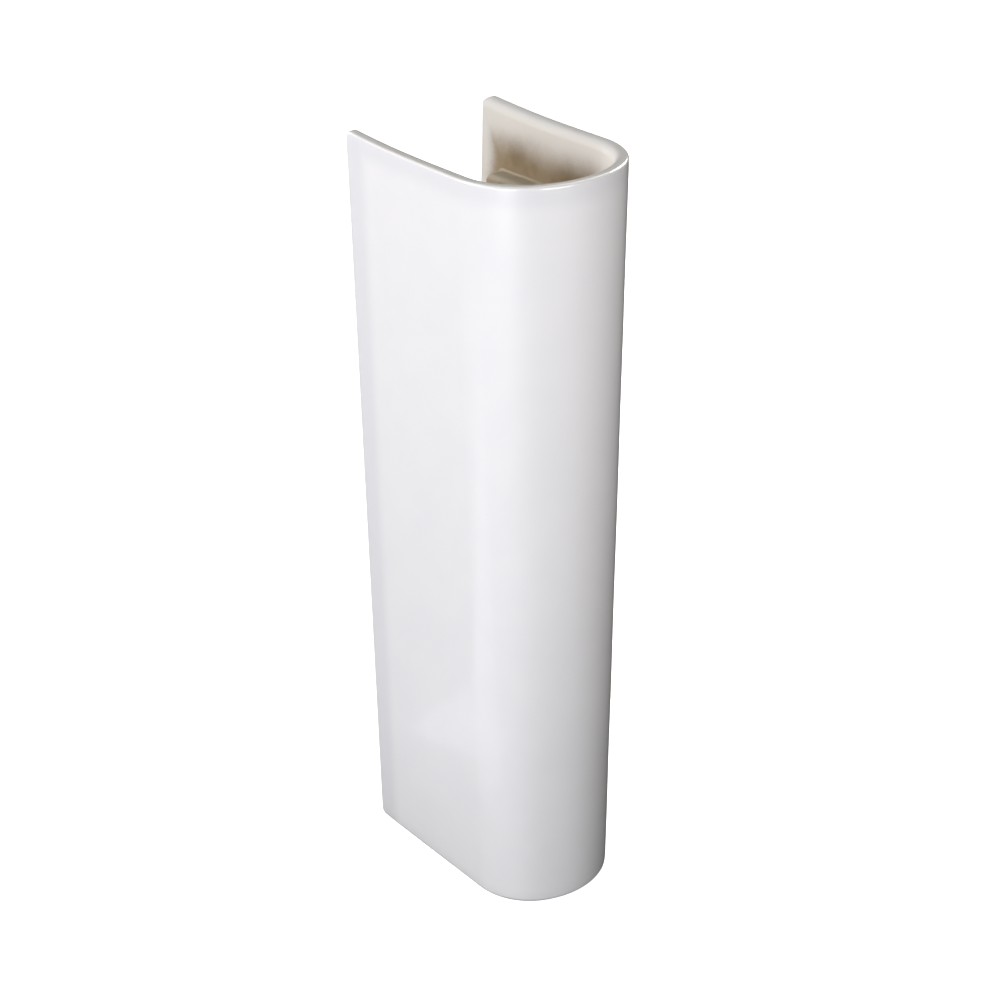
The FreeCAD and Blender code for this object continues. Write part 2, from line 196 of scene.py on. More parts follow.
def grow_rings(rings: Sequence[Sequence[Vector]], ends: Ends = Ends.CAPPED
               ) -> bmesh.types.BMesh:
    """Grow a skin from one ring of points to the next by extruding its edges.

    Args:
        rings: rings of equally many points, in metres, in order.
        ends: what becomes of the first and last ring.

    Returns:
        The grown bmesh.
    """
    shape = bmesh.new()
    station = shape.verts.layers.int.new("station")
    circle = bmesh.ops.create_circle(shape, segments=len(rings[0]), radius=1.0)
    for number, vert in enumerate(circle["verts"]):
        vert[station] = number
        vert.co = rings[0][number]
    first = list(shape.edges)
    edges = first
    for ring in rings[1:]:
        verts, edges = extrude_edges(shape, edges)
        for vert in verts:
            vert.co = ring[vert[station]]
    if ends is Ends.JOINED:
        bmesh.ops.bridge_loops(shape, edges=first + edges)
    else:
        open_edges = first + edges if ends is Ends.CAPPED else first
        bmesh.ops.holes_fill(shape, edges=open_edges, sides=0)
    return shape


def rounded_rectangle(low: tuple[float, float], high: tuple[float, float], radius: float,
                      corner_steps: int, side_steps: int) -> list[tuple[float, float]]:
    """List the points of a rectangle with rounded corners, anticlockwise.

    Args:
        low: its lowest corner.
        high: its highest corner.
        radius: the corners' radius.
        corner_steps: divisions of a corner.
        side_steps: divisions of a side.

    Returns:
        4 x (corner_steps + side_steps) points.
    """
    radius = min(radius, (high[0] - low[0]) / 2.01, (high[1] - low[1]) / 2.01)
    centres = [(high[0] - radius, low[1] + radius), (high[0] - radius, high[1] - radius),
               (low[0] + radius, high[1] - radius), (low[0] + radius, low[1] + radius)]
    points: list[tuple[float, float]] = []
    for corner, centre in enumerate(centres):
        angles = [math.radians(90) * (corner - 1 + share) for share in shares(corner_steps)]
        points += [(centre[0] + radius * math.cos(angle), centre[1] + radius * math.sin(angle))
                   for angle in angles]
        begin = points[-1]
        following = centres[(corner + 1) % 4]
        finish = (following[0] + begin[0] - centre[0], following[1] + begin[1] - centre[1])
        points += [(lerp(begin[0], finish[0], share), lerp(begin[1], finish[1], share))
                   for share in shares(side_steps)[1:-1]]
    return points


# ---------------------------------------------------------------- finishes

def object_place(tree: bpy.types.NodeTree) -> bpy.types.NodeSocket:
    """Return object coordinates, in metres."""
    return add_node(tree, "TexCoord").outputs["Object"]


def new_tree(name: str) -> tuple[bpy.types.Material, bpy.types.NodeTree]:
    """Make a named material and return it with its emptied tree."""
    material = bpy.data.materials.new(name)
    material.use_nodes = True
    tree = material.node_tree
    tree.nodes.clear()
    return material, tree


def surface(material: bpy.types.Material, shader: bpy.types.Node) -> bpy.types.Material:
    """Make a shader the material's surface and return the material."""
    add_node(material.node_tree, "OutputMaterial", None, {"Surface": shader.outputs[0]})
    return material


@dataclass(frozen=True)
class VitreousChina:
    """Vitreous china, slip-cast, sprayed with white glaze and fired once.

    The outside wears a thick glassy coat over a white ground: a soft white with clear, faintly
    rippled reflections. It reads a little greyer on the lip, where it runs thin. Along the rim
    and the rear edges it carries a band of painted shade. Inside, only the overspray near the
    rim and the open back whitens the tan body, which is dull and grainy further in. The foot
    is wiped bare so that it doesn't stick in the kiln.
    """

    glaze_colour: str = "#F4F3F4"
    thin_glaze_colour: str = "#EFEEEC"
    spray_colour: str = "#F2EFEA"
    haze_colour: str = "#EDEDF0"
    # Painted shade: the greyer band along the rim and the rear edges.
    painted_shade_colour: str = "#E6E6E9"
    body_colour: str = "#A8957A"
    deep_body_colour: str = "#917D60"
    fleck_colour: str = "#7C6444"
    bare_foot_colour: str = "#D9CDB6"
    ripple_mm: float = 9.0
    grain_mm: float = 0.7
    blotch_mm: float = 38.0
    speck_mm: float = 2.2
    cloud_reach_mm: float = 12.0
    speck_reach_mm: float = 4.0
    relief_mm: float = 0.4
    coat_roughness: float = 0.06
    glaze_ior: float = 1.5
    rim_mm: float = 680.0
    rear_mm: float = 108.0
    spray_below_rim_mm: float = 46.0
    spray_back_start_mm: float = 4.0
    spray_from_back_mm: float = 26.0
    spray_start_mm: float = 8.0
    # Reach of the painted shade band from the rear edges and from the rim.
    back_shade_mm: float = 34.0
    rim_shade_mm: float = 26.0

    def noise(self, tree: bpy.types.NodeTree, size_mm: float, detail: float,
              roughness: float = 0.5) -> bpy.types.NodeSocket:
        """Add noise of a real size.

        Args:
            tree: the node tree.
            size_mm: the size of one blotch.
            detail: octaves of finer noise.
            roughness: how strong the finer octaves are.

        Returns:
            The noise's grey output.
        """
        settings = {"Scale": 1.0 / (size_mm * MM), "Detail": detail, "Roughness": roughness}
        return add_node(tree, "TexNoise", settings, {"Vector": object_place(tree)}).outputs[0]

    def ramp(self, tree: bpy.types.NodeTree, value: bpy.types.NodeSocket, low: float,
             high: float, to_low: float = 0.0, to_high: float = 1.0) -> bpy.types.NodeSocket:
        """Map a range smoothly onto another.

        Args:
            tree: the node tree.
            value: the socket to map.
            low: input that gives to_low.
            high: input that gives to_high.
            to_low: the output's start.
            to_high: the output's end.

        Returns:
            The mapped socket.
        """
        settings = {"interpolation_type": "SMOOTHERSTEP", "From Min": low, "From Max": high,
                    "To Min": to_low, "To Max": to_high}
        return add_node(tree, "MapRange", settings, {"Value": value}).outputs[0]

    def math(self, tree: bpy.types.NodeTree, operation: str, first: bpy.types.NodeSocket,
             second: bpy.types.NodeSocket | float) -> bpy.types.NodeSocket:
        """Combine a socket with another socket or a number and return the result."""
        if isinstance(second, (int, float)):
            return add_node(tree, "Math", {"operation": operation, 1: second},
                            {0: first}).outputs[0]
        return add_node(tree, "Math", {"operation": operation}, {0: first, 1: second}).outputs[0]

    def mix(self, tree: bpy.types.NodeTree, share: bpy.types.NodeSocket,
            first: bpy.types.NodeSocket | str, second: bpy.types.NodeSocket | str
            ) -> bpy.types.NodeSocket:
        """Mix two colours, each a socket or a hex colour, and return the result."""
        settings: dict = {"data_type": "RGBA"}
        links: dict = {0: share}
        for number, colour in ((6, first), (7, second)):
            if isinstance(colour, str):
                settings[number] = linear(colour)
            else:
                links[number] = colour
        return add_node(tree, "Mix", settings, links).outputs[2]

    def body(self, tree: bpy.types.NodeTree, blotch: bpy.types.NodeSocket,
             grain: bpy.types.NodeSocket) -> bpy.types.NodeSocket:
        """Colour the bare body: two clouded tans with darker flecks."""
        clouded = self.mix(tree, self.ramp(tree, blotch, 0.35, 0.65), self.body_colour,
                           self.deep_body_colour)
        flecks = self.ramp(tree, grain, 0.60, 0.72, 0.0, 0.35)
        return self.mix(tree, flecks, clouded, self.fleck_colour)

    def glaze(self, tree: bpy.types.NodeTree, blotch: bpy.types.NodeSocket,
              edge: bpy.types.NodeSocket, place: bpy.types.Node) -> bpy.types.NodeSocket:
        """Colour the outside's glaze: thin on the lip, with painted shade by the rim and the back.
        """
        thin = self.math(tree, "MULTIPLY", self.ramp(tree, edge, 0.90, 1.0), 0.55)
        glaze = self.mix(tree, thin, self.glaze_colour, self.thin_glaze_colour)
        haze = self.ramp(tree, blotch, 0.3, 0.7, 0.0, 0.25)
        glaze = self.mix(tree, haze, glaze, self.haze_colour)
        # Painted shade: a greyer band along the rear edges and under the rim, kept off the lip.
        back = self.ramp(tree, place.outputs["Y"], (self.rear_mm - self.back_shade_mm) * MM,
                         (self.rear_mm - 0.4 * self.back_shade_mm) * MM, 0.0, 0.75)
        shade_under_rim = self.ramp(tree, place.outputs["Z"], (self.rim_mm - self.rim_shade_mm) * MM,
                              (self.rim_mm - 0.2 * self.rim_shade_mm) * MM, 0.0, 0.6)
        off_lip = self.ramp(tree, edge, 0.88, 0.98, 1.0, 0.0)
        strip = self.math(tree, "MULTIPLY", self.math(tree, "MAXIMUM", back, shade_under_rim), off_lip)
        return self.mix(tree, strip, glaze, self.painted_shade_colour)

    def scaled(self, tree: bpy.types.NodeTree, value: bpy.types.NodeSocket, factor: float,
               start: float) -> bpy.types.NodeSocket:
        """Multiply a socket by a factor and add a start value."""
        node = add_node(tree, "Math", {"operation": "MULTIPLY_ADD", 1: factor, 2: start},
                        {0: value})
        return node.outputs[0]

    def spray(self, tree: bpy.types.NodeTree, place: bpy.types.Node) -> bpy.types.NodeSocket:
        """Work out how white the overspray leaves the inside, from 0, bare, to 1, covered."""
        below = self.scaled(tree, place.outputs["Z"], -1.0 / MM, self.rim_mm)
        back = self.scaled(tree, place.outputs["Y"], -1.0 / MM, self.rear_mm)
        cloud = self.scaled(tree, self.noise(tree, self.blotch_mm, 3.0), self.cloud_reach_mm,
                            -self.cloud_reach_mm / 2)
        speck = self.scaled(tree, self.noise(tree, self.speck_mm, 2.0, 0.7),
                            self.speck_reach_mm, -self.speck_reach_mm / 2)
        shift = self.math(tree, "ADD", cloud, speck)
        below = self.math(tree, "ADD", below, shift)
        back = self.math(tree, "ADD", back, shift)
        from_rim = self.ramp(tree, below, self.spray_start_mm, self.spray_below_rim_mm, 1.0, 0.0)
        from_back = self.ramp(tree, back, self.spray_back_start_mm, self.spray_from_back_mm,
                              1.0, 0.0)
        return self.math(tree, "MAXIMUM", from_rim, from_back)

    def build(self) -> bpy.types.Material:
        """Build the column's material.

        Returns:
            The material. It reads the mesh's inside and edge attributes.
        """
        material, tree = new_tree("vitreous_china_cast_and_glazed")
        depth = add_node(tree, "Attribute", {"attribute_name": "inside"}).outputs["Fac"]
        edge = add_node(tree, "Attribute", {"attribute_name": "edge"}).outputs["Fac"]
        place = add_node(tree, "SeparateXYZ", None, {0: object_place(tree)})
        turned_in = self.ramp(tree, depth, 0.40, 0.90)
        inside = self.ramp(tree, depth, 0.80, 1.0)
        blotch = self.noise(tree, self.blotch_mm, 4.0)
        grain = self.noise(tree, self.grain_mm, 3.0, 0.7)

        glaze = self.glaze(tree, blotch, edge, place)
        glaze = self.mix(tree, inside, glaze, self.spray_colour)
        uncovered = self.scaled(tree, self.spray(tree, place), -1.0, 1.0)
        bare = self.math(tree, "MULTIPLY", inside, uncovered)
        colour = self.mix(tree, bare, glaze, self.body(tree, blotch, grain))
        foot = self.ramp(tree, place.outputs["Z"], 0.4 * MM, 1.1 * MM, 1.0, 0.0)
        colour = self.mix(tree, foot, colour, self.bare_foot_colour)
        dull = self.math(tree, "MAXIMUM", bare, foot)

        ripple = self.math(tree, "MULTIPLY", self.noise(tree, self.ripple_mm, 1.0), 0.05)
        grit = self.math(tree, "MULTIPLY", grain, self.math(tree, "MULTIPLY", dull, 0.35))
        relief = self.math(tree, "ADD", ripple, grit)
        bump = add_node(tree, "Bump", {"Strength": 1.0, "Distance": self.relief_mm * MM},
                        {"Height": relief})
        matt = self.math(tree, "MAXIMUM", dull, self.math(tree, "MULTIPLY", turned_in, 0.7))
        roughness = self.ramp(tree, matt, 0.0, 1.0, 0.30, 0.82)
        coat = self.ramp(tree, matt, 0.0, 1.0, 1.0, 0.05)
        shader = add_node(tree, "BsdfPrincipled", {
            "IOR": self.glaze_ior, "Coat Roughness": self.coat_roughness,
            "Coat IOR": self.glaze_ior,
        }, {"Base Color": colour, "Roughness": roughness, "Coat Weight": coat,
            "Normal": bump.outputs[0], "Coat Normal": bump.outputs[0]})
        return surface(material, shader)


@dataclass(frozen=True)
class LutedChina(VitreousChina):
    """Pressed china body, luted on with slip.

    It reads as the column's inside: tan and only slightly shiny. Painted top light makes its
    upward faces a little paler and glossier.
    """

    # Painted top light: the colour that upward faces are lightened to.
    painted_top_light_colour: str = "#C8C1AF"
    fleck_colour: str = "#8C6F4A"
    blotch_mm: float = 14.0

    def build(self) -> bpy.types.Material:
        """Build the material of the members inside the column."""
        material, tree = new_tree("china_body_luted_with_painted_top_light")
        grain = self.noise(tree, self.grain_mm, 3.0, 0.7)
        body = self.body(tree, self.noise(tree, self.blotch_mm, 4.0), grain)
        up = add_node(tree, "SeparateXYZ", None,
                      {0: add_node(tree, "NewGeometry").outputs["Normal"]}).outputs["Z"]
        # Painted top light: upward faces paler and glossier.
        painted_top_light = self.ramp(tree, up, 0.1, 0.95, 0.10, 0.80)
        painted_top_light = self.math(tree, "MULTIPLY", painted_top_light, self.ramp(tree, grain, 0.2, 0.6, 0.8, 1.0))
        colour = self.mix(tree, painted_top_light, body, self.painted_top_light_colour)
        bump = add_node(tree, "Bump", {"Strength": 0.6, "Distance": 0.25 * MM},
                        {"Height": grain})
        roughness = self.ramp(tree, painted_top_light, 0.0, 1.0, 0.80, 0.42)
        shader = add_node(tree, "BsdfPrincipled", {"IOR": self.glaze_ior}, {
            "Base Color": colour, "Roughness": roughness, "Normal": bump.outputs[0]})
        return surface(material, shader)


@dataclass(frozen=True)
class MouldedNylon:
    """Natural nylon, injection moulded: milky, slightly warm, with a fine satin skin."""

    colour: str = "#E4E0D2"
    grain_colour: str = "#D8D3C2"
    ior: float = 1.53
    roughness: float = 0.42
    skin_mm: float = 0.5

    def build(self) -> bpy.types.Material:
        """Build the bushes' material."""
        material, tree = new_tree("nylon_injection_moulded")
        grain = add_node(tree, "TexNoise", {"Scale": 1.0 / (self.skin_mm * MM), "Detail": 2.0},
                         {"Vector": object_place(tree)}).outputs[0]
        bump = add_node(tree, "Bump", {"Strength": 0.25, "Distance": 0.05 * MM},
                        {"Height": grain})
        tint = add_node(tree, "Mix", {"data_type": "RGBA", 6: linear(self.colour),
                                      7: linear(self.grain_colour)}, {0: grain}).outputs[2]
        shader = add_node(tree, "BsdfPrincipled", {
            "IOR": self.ior, "Roughness": self.roughness, "Subsurface Weight": 0.15,
            "Subsurface Scale": 1.5 * MM,
        }, {"Base Color": tint, "Normal": bump.outputs[0]})
        return surface(material, shader)


# ---------------------------------------------------------------- the column

@dataclass(frozen=True)
class Section:
    """The column's outside in plan at one height: a front arc, two shoulder arcs, two sides."""

    nose_half: float
    flare: float
    shoulder: float
    turn: float
    tip: float
    rear: float

    def solve(self) -> dict[str, float]:
        """Work out the arcs' centres, radii and angles from the section's own sizes.

        Returns:
            The own sizes, front radius and centre, shoulder centre, where the side starts, and
            the angles from the nose's direction at which the shoulder starts and ends.
        """
        side_y = self.tip + self.shoulder
        for _ in range(4):
            lean = math.atan2(self.flare, self.rear - side_y)
            end = math.pi / 2 - lean
            begin = end - self.turn
            shoulder_x = self.nose_half - self.shoulder * math.sin(end)
            front = shoulder_x / math.sin(begin) + self.shoulder
            drop = (self.shoulder - front) * math.cos(begin)
            side_y = self.tip + front + drop - self.shoulder * math.cos(end)
        return {"nose_half": self.nose_half, "flare": self.flare, "shoulder": self.shoulder,
                "front": front, "front_y": self.tip + front, "begin": begin, "end": end,
                "shoulder_x": shoulder_x, "shoulder_y": side_y + self.shoulder * math.cos(end),
                "side_y": side_y}


@dataclass
class Column:
    """The cast column: one wall bent into a U, with a rounded lip all the way round its edge.

    A place on its outer skin is given as (along, up): millimetres round the plan from the tip
    of the nose, positive on the right, and millimetres above the floor.
    """

    height: float = 680.0
    wall: float = 13.5
    rim_nose_half: float = 80.3
    rim_flare: float = -0.2
    rim_shoulder: float = 67.7
    foot_nose_half: float = 66.4
    foot_flare: float = -5.0
    foot_shoulder: float = 57.8
    shoulder_turn: float = 64.0
    rim_rise: float = 4.0
    rim_run: float = 105.0
    rim_corner: float = 5.5
    foot_corner: float = 6.0
    least_corner: float = 0.8
    lip_out: dict = field(default_factory=lambda: {"rim": 2.2, "back": 1.8, "foot": 3.6})
    lip_in: dict = field(default_factory=lambda: {"rim": 7.5, "back": 2.4, "foot": 2.4})
    glaze_run: float = 15.0
    back_roll: float = 0.6
    back_roll_width: float = 30.0
    rim_roll: float = 0.3
    rim_roll_width: float = 14.0
    foot_roll: float = 0.7
    foot_roll_width: float = 13.0
    waviness: float = 0.22
    wave_size: float = 95.0
    front_steps: int = 12
    shoulder_steps: int = 24
    side_steps: int = 34
    up_steps: int = 84
    corner_steps: int = 4
    lip_steps: int = 5
    solved: dict = field(default_factory=dict)

    def __post_init__(self) -> None:
        """Take the overall depth from the frame, and lay out the sheet's lengths."""
        low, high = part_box("shell")
        self.tip = low.y / MM
        self.rear = high.y / MM
        self.top = self.height + self.rim_rise
        middle = self.section(self.top / 2)
        self.front_run = middle["front"] * middle["begin"]
        self.shoulder_run = lerp(self.foot_shoulder, self.rim_shoulder, 0.5) * math.radians(
            self.shoulder_turn)
        self.side_run = self.rear - middle["side_y"]
        self.half_run = self.front_run + self.shoulder_run + self.side_run
        self.walks = {part: self.lip_walk(part) for part in self.lip_out}
        self.columns, self.rows = self.stations()
        self.last_column = len(self.columns) - 1 + 2 * self.corner_steps
        self.last_row = len(self.rows) - 1 + 2 * self.corner_steps

    def section(self, up: float) -> dict[str, float]:
        """Return the solved section at a height, from a small store."""
        key = round(up, 2)
        if key not in self.solved:
            share = key / self.top
            self.solved[key] = Section(
                lerp(self.foot_nose_half, self.rim_nose_half, share),
                lerp(self.foot_flare, self.rim_flare, share),
                lerp(self.foot_shoulder, self.rim_shoulder, share),
                math.radians(self.shoulder_turn), self.tip, self.rear).solve()
        return self.solved[key]

    def plan(self, along: float, up: float) -> tuple[Vector, Vector]:
        """Find a place on the outer skin.

        Args:
            along: millimetres round the plan from the nose's tip.
            up: millimetres above the floor.

        Returns:
            The place, and the outward normal in plan, both in millimetres.
        """
        cut = self.section(up)
        sign = math.copysign(1.0, along)
        run = abs(along)
        if run < self.front_run + self.shoulder_run:
            if run < self.front_run:
                angle = cut["begin"] * run / self.front_run
                centre_x, centre_y, radius = 0.0, cut["front_y"], cut["front"]
            else:
                angle = lerp(cut["begin"], cut["end"], (run - self.front_run) / self.shoulder_run)
                centre_x, centre_y = cut["shoulder_x"], cut["shoulder_y"]
                radius = cut["shoulder"]
            across, back = math.sin(angle), -math.cos(angle)
            place = Vector((centre_x + radius * across, centre_y + radius * back, up))
        else:
            share = (run - self.front_run - self.shoulder_run) / self.side_run
            across, back = math.sin(cut["end"]), -math.cos(cut["end"])
            place = Vector((cut["nose_half"] + cut["flare"] * share,
                            lerp(cut["side_y"], self.rear, share), up))
        return Vector((sign * place.x, place.y, up)), Vector((sign * across, back, 0.0))

    def rim_height(self, along: float) -> float:
        """Return the rim's height, which climbs towards its two rear ends."""
        from_back = self.half_run - abs(along)
        climb = max(0.0, 1.0 - from_back / self.rim_run)
        return self.height + self.rim_rise * climb ** 2

    def edge_distance(self, along: float, up: float) -> float:
        """Return the distance from a place to the nearest edge of the sheet."""
        return min(self.half_run - abs(along), self.rim_height(along) - up, up)

    def at(self, along: float, up: float, depth: float) -> Vector:
        """Return a point of the wall in metres.

        Args:
            along: millimetres round the plan.
            up: millimetres above the floor.
            depth: millimetres in from the outer skin.
        """
        place, normal = self.plan(along, up)
        share = min(1.0, depth / self.wall)
        roll = 0.0
        for gap, size, width in (
                (self.half_run - abs(along), self.back_roll, self.back_roll_width),
                (self.rim_height(along) - up, self.rim_roll, self.rim_roll_width),
                (up, self.foot_roll, self.foot_roll_width)):
            roll += size * max(0.0, 1.0 - max(0.0, gap) / width) ** 2
        calm = min(1.0, max(0.0, self.edge_distance(along, up)) / self.glaze_run)
        wobble = 0.5 + noise.noise(place / self.wave_size + Vector((0.0, 0.0, 5.0 * share)))
        depth += roll * (1.0 - share) + self.waviness * calm * wobble
        return (place - normal * depth) * MM

    def stations(self) -> tuple[list[float], list[float]]:
        """Space the sheet's rows and columns: finer on the bends and next to the edges.

        Returns:
            The columns' places along and the rows' shares of the way up, both without corners.
        """
        limit = self.half_run - self.rim_corner
        start = self.front_run + self.shoulder_run
        half = [self.front_run * share for share in shares(self.front_steps)[:-1]]
        half += [self.front_run + self.shoulder_run * share
                 for share in shares(self.shoulder_steps)[:-1]]
        half += [lerp(start, limit, 0.5 * math.sin(share * math.pi / 2) + 0.5 * share)
                 for share in shares(self.side_steps)]
        columns = [-value for value in reversed(half[1:])] + half
        rows = [0.5 * share + 0.5 * (0.5 - 0.5 * math.cos(math.pi * share))
                for share in shares(self.up_steps)]
        return columns, rows

    def lip_walk(self, part: str) -> list[tuple[float, float]]:
        """Walk over the lip from the outer skin to the inner one.

        Args:
            part: rim, back or foot.

        Returns:
            (inset from the edge, depth from the outer skin) of each step.
        """
        outer = self.lip_out[part]
        inner = self.lip_in[part]
        bend = quarter(self.lip_steps)
        walk = [(outer * shrink, outer * grow) for grow, shrink in bend]
        for step in range(1, 3):
            walk.append((0.0, lerp(outer, self.wall - inner, step / 3)))
        walk += [(inner * shrink, self.wall - inner * grow) for grow, shrink in reversed(bend)]
        return walk

    def outline(self, column: int, row: int, step: int) -> tuple[float, float, float]:
        """Find a place on the sheet's border at one step of the lip.

        Args:
            column: the grid's column.
            row: the grid's row.
            step: the lip's step, 0 where it leaves the outer skin.

        Returns:
            along, up, and depth from the outer skin.
        """
        bends = self.corner_steps
        back, back_depth = self.walks["back"][step]
        rim, rim_depth = self.walks["rim"][step]
        foot, foot_depth = self.walks["foot"][step]
        high = max(self.least_corner, self.rim_corner - max(rim, back))
        low = max(self.least_corner, self.foot_corner - max(foot, back))
        side = self.half_run - back
        at_end = row in (0, self.last_row)
        inner = column - bends if at_end else row - bends
        upper = row > bends
        radius, end_depth = (high, rim_depth) if upper else (low, foot_depth)
        limit = side - radius
        if at_end and 0 <= inner < len(self.columns):
            along = self.columns[inner] * limit / self.columns[-1]
            return along, self.rim_height(along) - rim if upper else foot, end_depth
        if not at_end and 0 <= inner < len(self.rows):
            top = self.rim_height(side) - rim - high
            sign = -1.0 if column == 0 else 1.0
            return sign * side, lerp(foot + low, top, self.rows[inner]), back_depth
        if at_end:
            sign = -1.0 if inner < 0 else 1.0
            angle = math.radians(45 + 45 * min(column, self.last_column - column) / bends)
        else:
            sign = -1.0 if column == 0 else 1.0
            angle = math.radians(45 - 45 * min(row, self.last_row - row) / bends)
        out, rise = math.cos(angle), math.sin(angle)
        along = limit + radius * out
        if upper:
            up = self.rim_height(along) - rim - radius + radius * rise
        else:
            up = foot + radius - radius * rise
        return sign * along, up, end_depth * rise ** 2 + back_depth * out ** 2

    def sheet(self, step: int) -> Callable[[int, int], tuple[float, float]]:
        """Prepare the places of one skin's grid, which ends where the lip begins.

        Args:
            step: the lip's step that the skin's edge is: 0 outside, the last inside.

        Returns:
            A function from a column and row to (along, up).
        """
        def border(column: int, row: int) -> Vector:
            return Vector(self.outline(column, row, step)[:2])

        bottom, lid = ([border(column, row) for column in range(self.last_column + 1)]
                       for row in (0, self.last_row))
        left, right = ([border(column, row) for row in range(self.last_row + 1)]
                       for column in (0, self.last_column))
        width = lid[-1].x - lid[0].x
        tall = left[-1].y - left[0].y

        def place(column: int, row: int) -> tuple[float, float]:
            across = (lid[column].x - lid[0].x) / width
            rise = (left[row].y - left[0].y) / tall
            spot = (bottom[column] * (1 - rise) + lid[column] * rise
                    + left[row] * (1 - across) + right[row] * across
                    - bottom[0] * (1 - across) * (1 - rise) - bottom[-1] * across * (1 - rise)
                    - lid[0] * (1 - across) * rise - lid[-1] * across * rise)
            return spot.x, spot.y

        return place

    def build(self) -> bpy.types.Object:
        """Model the column: an outer skin, a lip grown from its edge, and an inner skin.

        Returns:
            The column, with the attributes inside and edge for its material.
        """
        across, tall = self.last_column, self.last_row
        shape = bmesh.new()
        column_of = shape.verts.layers.int.new("column")
        row_of = shape.verts.layers.int.new("row")
        inside = shape.verts.layers.float.new("inside")
        edge = shape.verts.layers.float.new("edge")
        bmesh.ops.create_grid(shape, x_segments=across, y_segments=tall, size=1.0)
        for vert in shape.verts:
            vert[column_of] = round((vert.co.x + 1) / 2 * across)
            vert[row_of] = round((vert.co.y + 1) / 2 * tall)
        outer_faces = list(shape.faces)
        copy = bmesh.ops.duplicate(shape, geom=outer_faces)["geom"]
        inner_verts = [item for item in copy if isinstance(item, bmesh.types.BMVert)]
        inner_set = set(inner_verts)
        outer_verts = [vert for vert in shape.verts if vert not in inner_set]
        steps = len(self.walks["rim"])

        def settle(verts: Iterable[bmesh.types.BMVert], step: int, share: float) -> None:
            place = self.sheet(step)
            for vert in verts:
                along, up = place(vert[column_of], vert[row_of])
                vert.co = self.at(along, up, self.wall * share)
                vert[inside] = share
                near = 1.0 - self.edge_distance(along, up) / self.glaze_run
                vert[edge] = max(0.0, min(1.0, near))

        settle(inner_verts, steps - 1, 1.0)
        rim = [item for item in shape.edges if item.is_boundary
               and item.verts[0] not in inner_set and item.verts[1] not in inner_set]
        settle(outer_verts, 0, 0.0)
        for step in range(1, steps):
            verts, rim = extrude_edges(shape, rim)
            for vert in verts:
                along, up, depth = self.outline(vert[column_of], vert[row_of], step)
                vert.co = self.at(along, up, depth)
                vert[inside] = depth / self.wall
                vert[edge] = 1.0
        return finish_mesh(shape, "column")


# ---------------------------------------------------------------- members inside the column

@dataclass
class Ledge:
    """A ledge on the inside of one wall, luted on: flat on top, sloping underneath."""

    column: Column
    side: Side
    drop: float = 54.0
    reach: float = 17.0
    gap: float = 25.0
    long: float = 80.0
    face: float = 20.0
    edge_round: float = 6.0
    end_round: float = 8.0
    fillet: float = 1.5
    sunk: float = 1.0

    def build(self) -> bpy.types.Object:
        """Model the ledge as rings that step in from the wall.

        Returns:
            The ledge, with its foot sunk in the wall and a slip fillet round it.
        """
        top = self.column.height - self.drop
        low = top - self.face
        start = self.column.half_run - self.gap - self.long
        stop = self.column.half_run - self.gap
        walk: list[tuple[float, float, float]] = [(-self.sunk, self.fillet, 0.0)]
        walk += [(self.fillet * grow, self.fillet * shrink, 0.0) for grow, shrink in quarter(4)]
        walk += [(lerp(self.fillet, self.reach - self.edge_round, share), 0.0, 0.0)
                 for share in shares(4)[1:-1]]
        walk += [(self.reach - self.edge_round * shrink, 0.0, self.edge_round * grow)
                 for grow, shrink in quarter(6)]
        for inset in (self.edge_round + 1.5, self.edge_round + 4.0):
            walk.append((self.reach, 0.0, inset))
        rings = []
        for depth, spread, inset in walk:
            under = low - max(0.0, self.reach - depth)
            corner = max(1.2, self.end_round - inset)
            points = rounded_rectangle(
                (start - spread + inset, under - spread + inset),
                (stop + spread - inset, top + spread - inset), corner, 6, 10)
            rings.append([self.column.at(self.side.value * along, up, self.column.wall + depth)
                          for along, up in points])
        return finish_mesh(grow_rings(rings), "luted_ledge_" + self.side.word)


@dataclass
class CrossTie:
    """A low web across the open back, luted to both walls."""

    column: Column
    setback: float = 6.0
    thick: float = 13.0
    tall: float = 48.0
    top_round: float = 4.0
    fillet: float = 3.0
    sunk: float = 1.0
    stations: int = 24

    def build(self) -> bpy.types.Object:
        """Model the web as rings that step across from the left wall to the right.

        Returns:
            The cross tie, with slip fillets where it meets the walls.
        """
        rear = self.column.rear - self.setback
        spreads = [(-self.sunk, self.fillet)]
        spreads += [(self.fillet * grow, self.fillet * shrink) for grow, shrink in quarter(4)]
        rings = []

        def ring(depth: float, spread: float, side: int, share: float | None) -> list[Vector]:
            outline = rounded_rectangle((rear - self.thick - spread, -self.top_round * 2),
                                        (rear + spread, self.tall + spread),
                                        self.top_round, 5, 8)
            points = []
            for back, up in outline:
                up = max(0.0, up)
                along = self.column.half_run - (self.column.rear - back)
                if share is None:
                    points.append(self.column.at(side * along, up, self.column.wall + depth))
                else:
                    left, right = (self.column.at(sign * along, up, self.column.wall + self.fillet)
                                   for sign in (-1, 1))
                    points.append(left.lerp(right, share))
            return points

        for depth, spread in spreads:
            rings.append(ring(depth, spread, -1, None))
        for share in shares(self.stations)[1:-1]:
            rings.append(ring(0.0, 0.0, 0, share))
        for depth, spread in reversed(spreads):
            rings.append(ring(depth, spread, 1, None))
        return finish_mesh(grow_rings(rings), "luted_cross_tie")


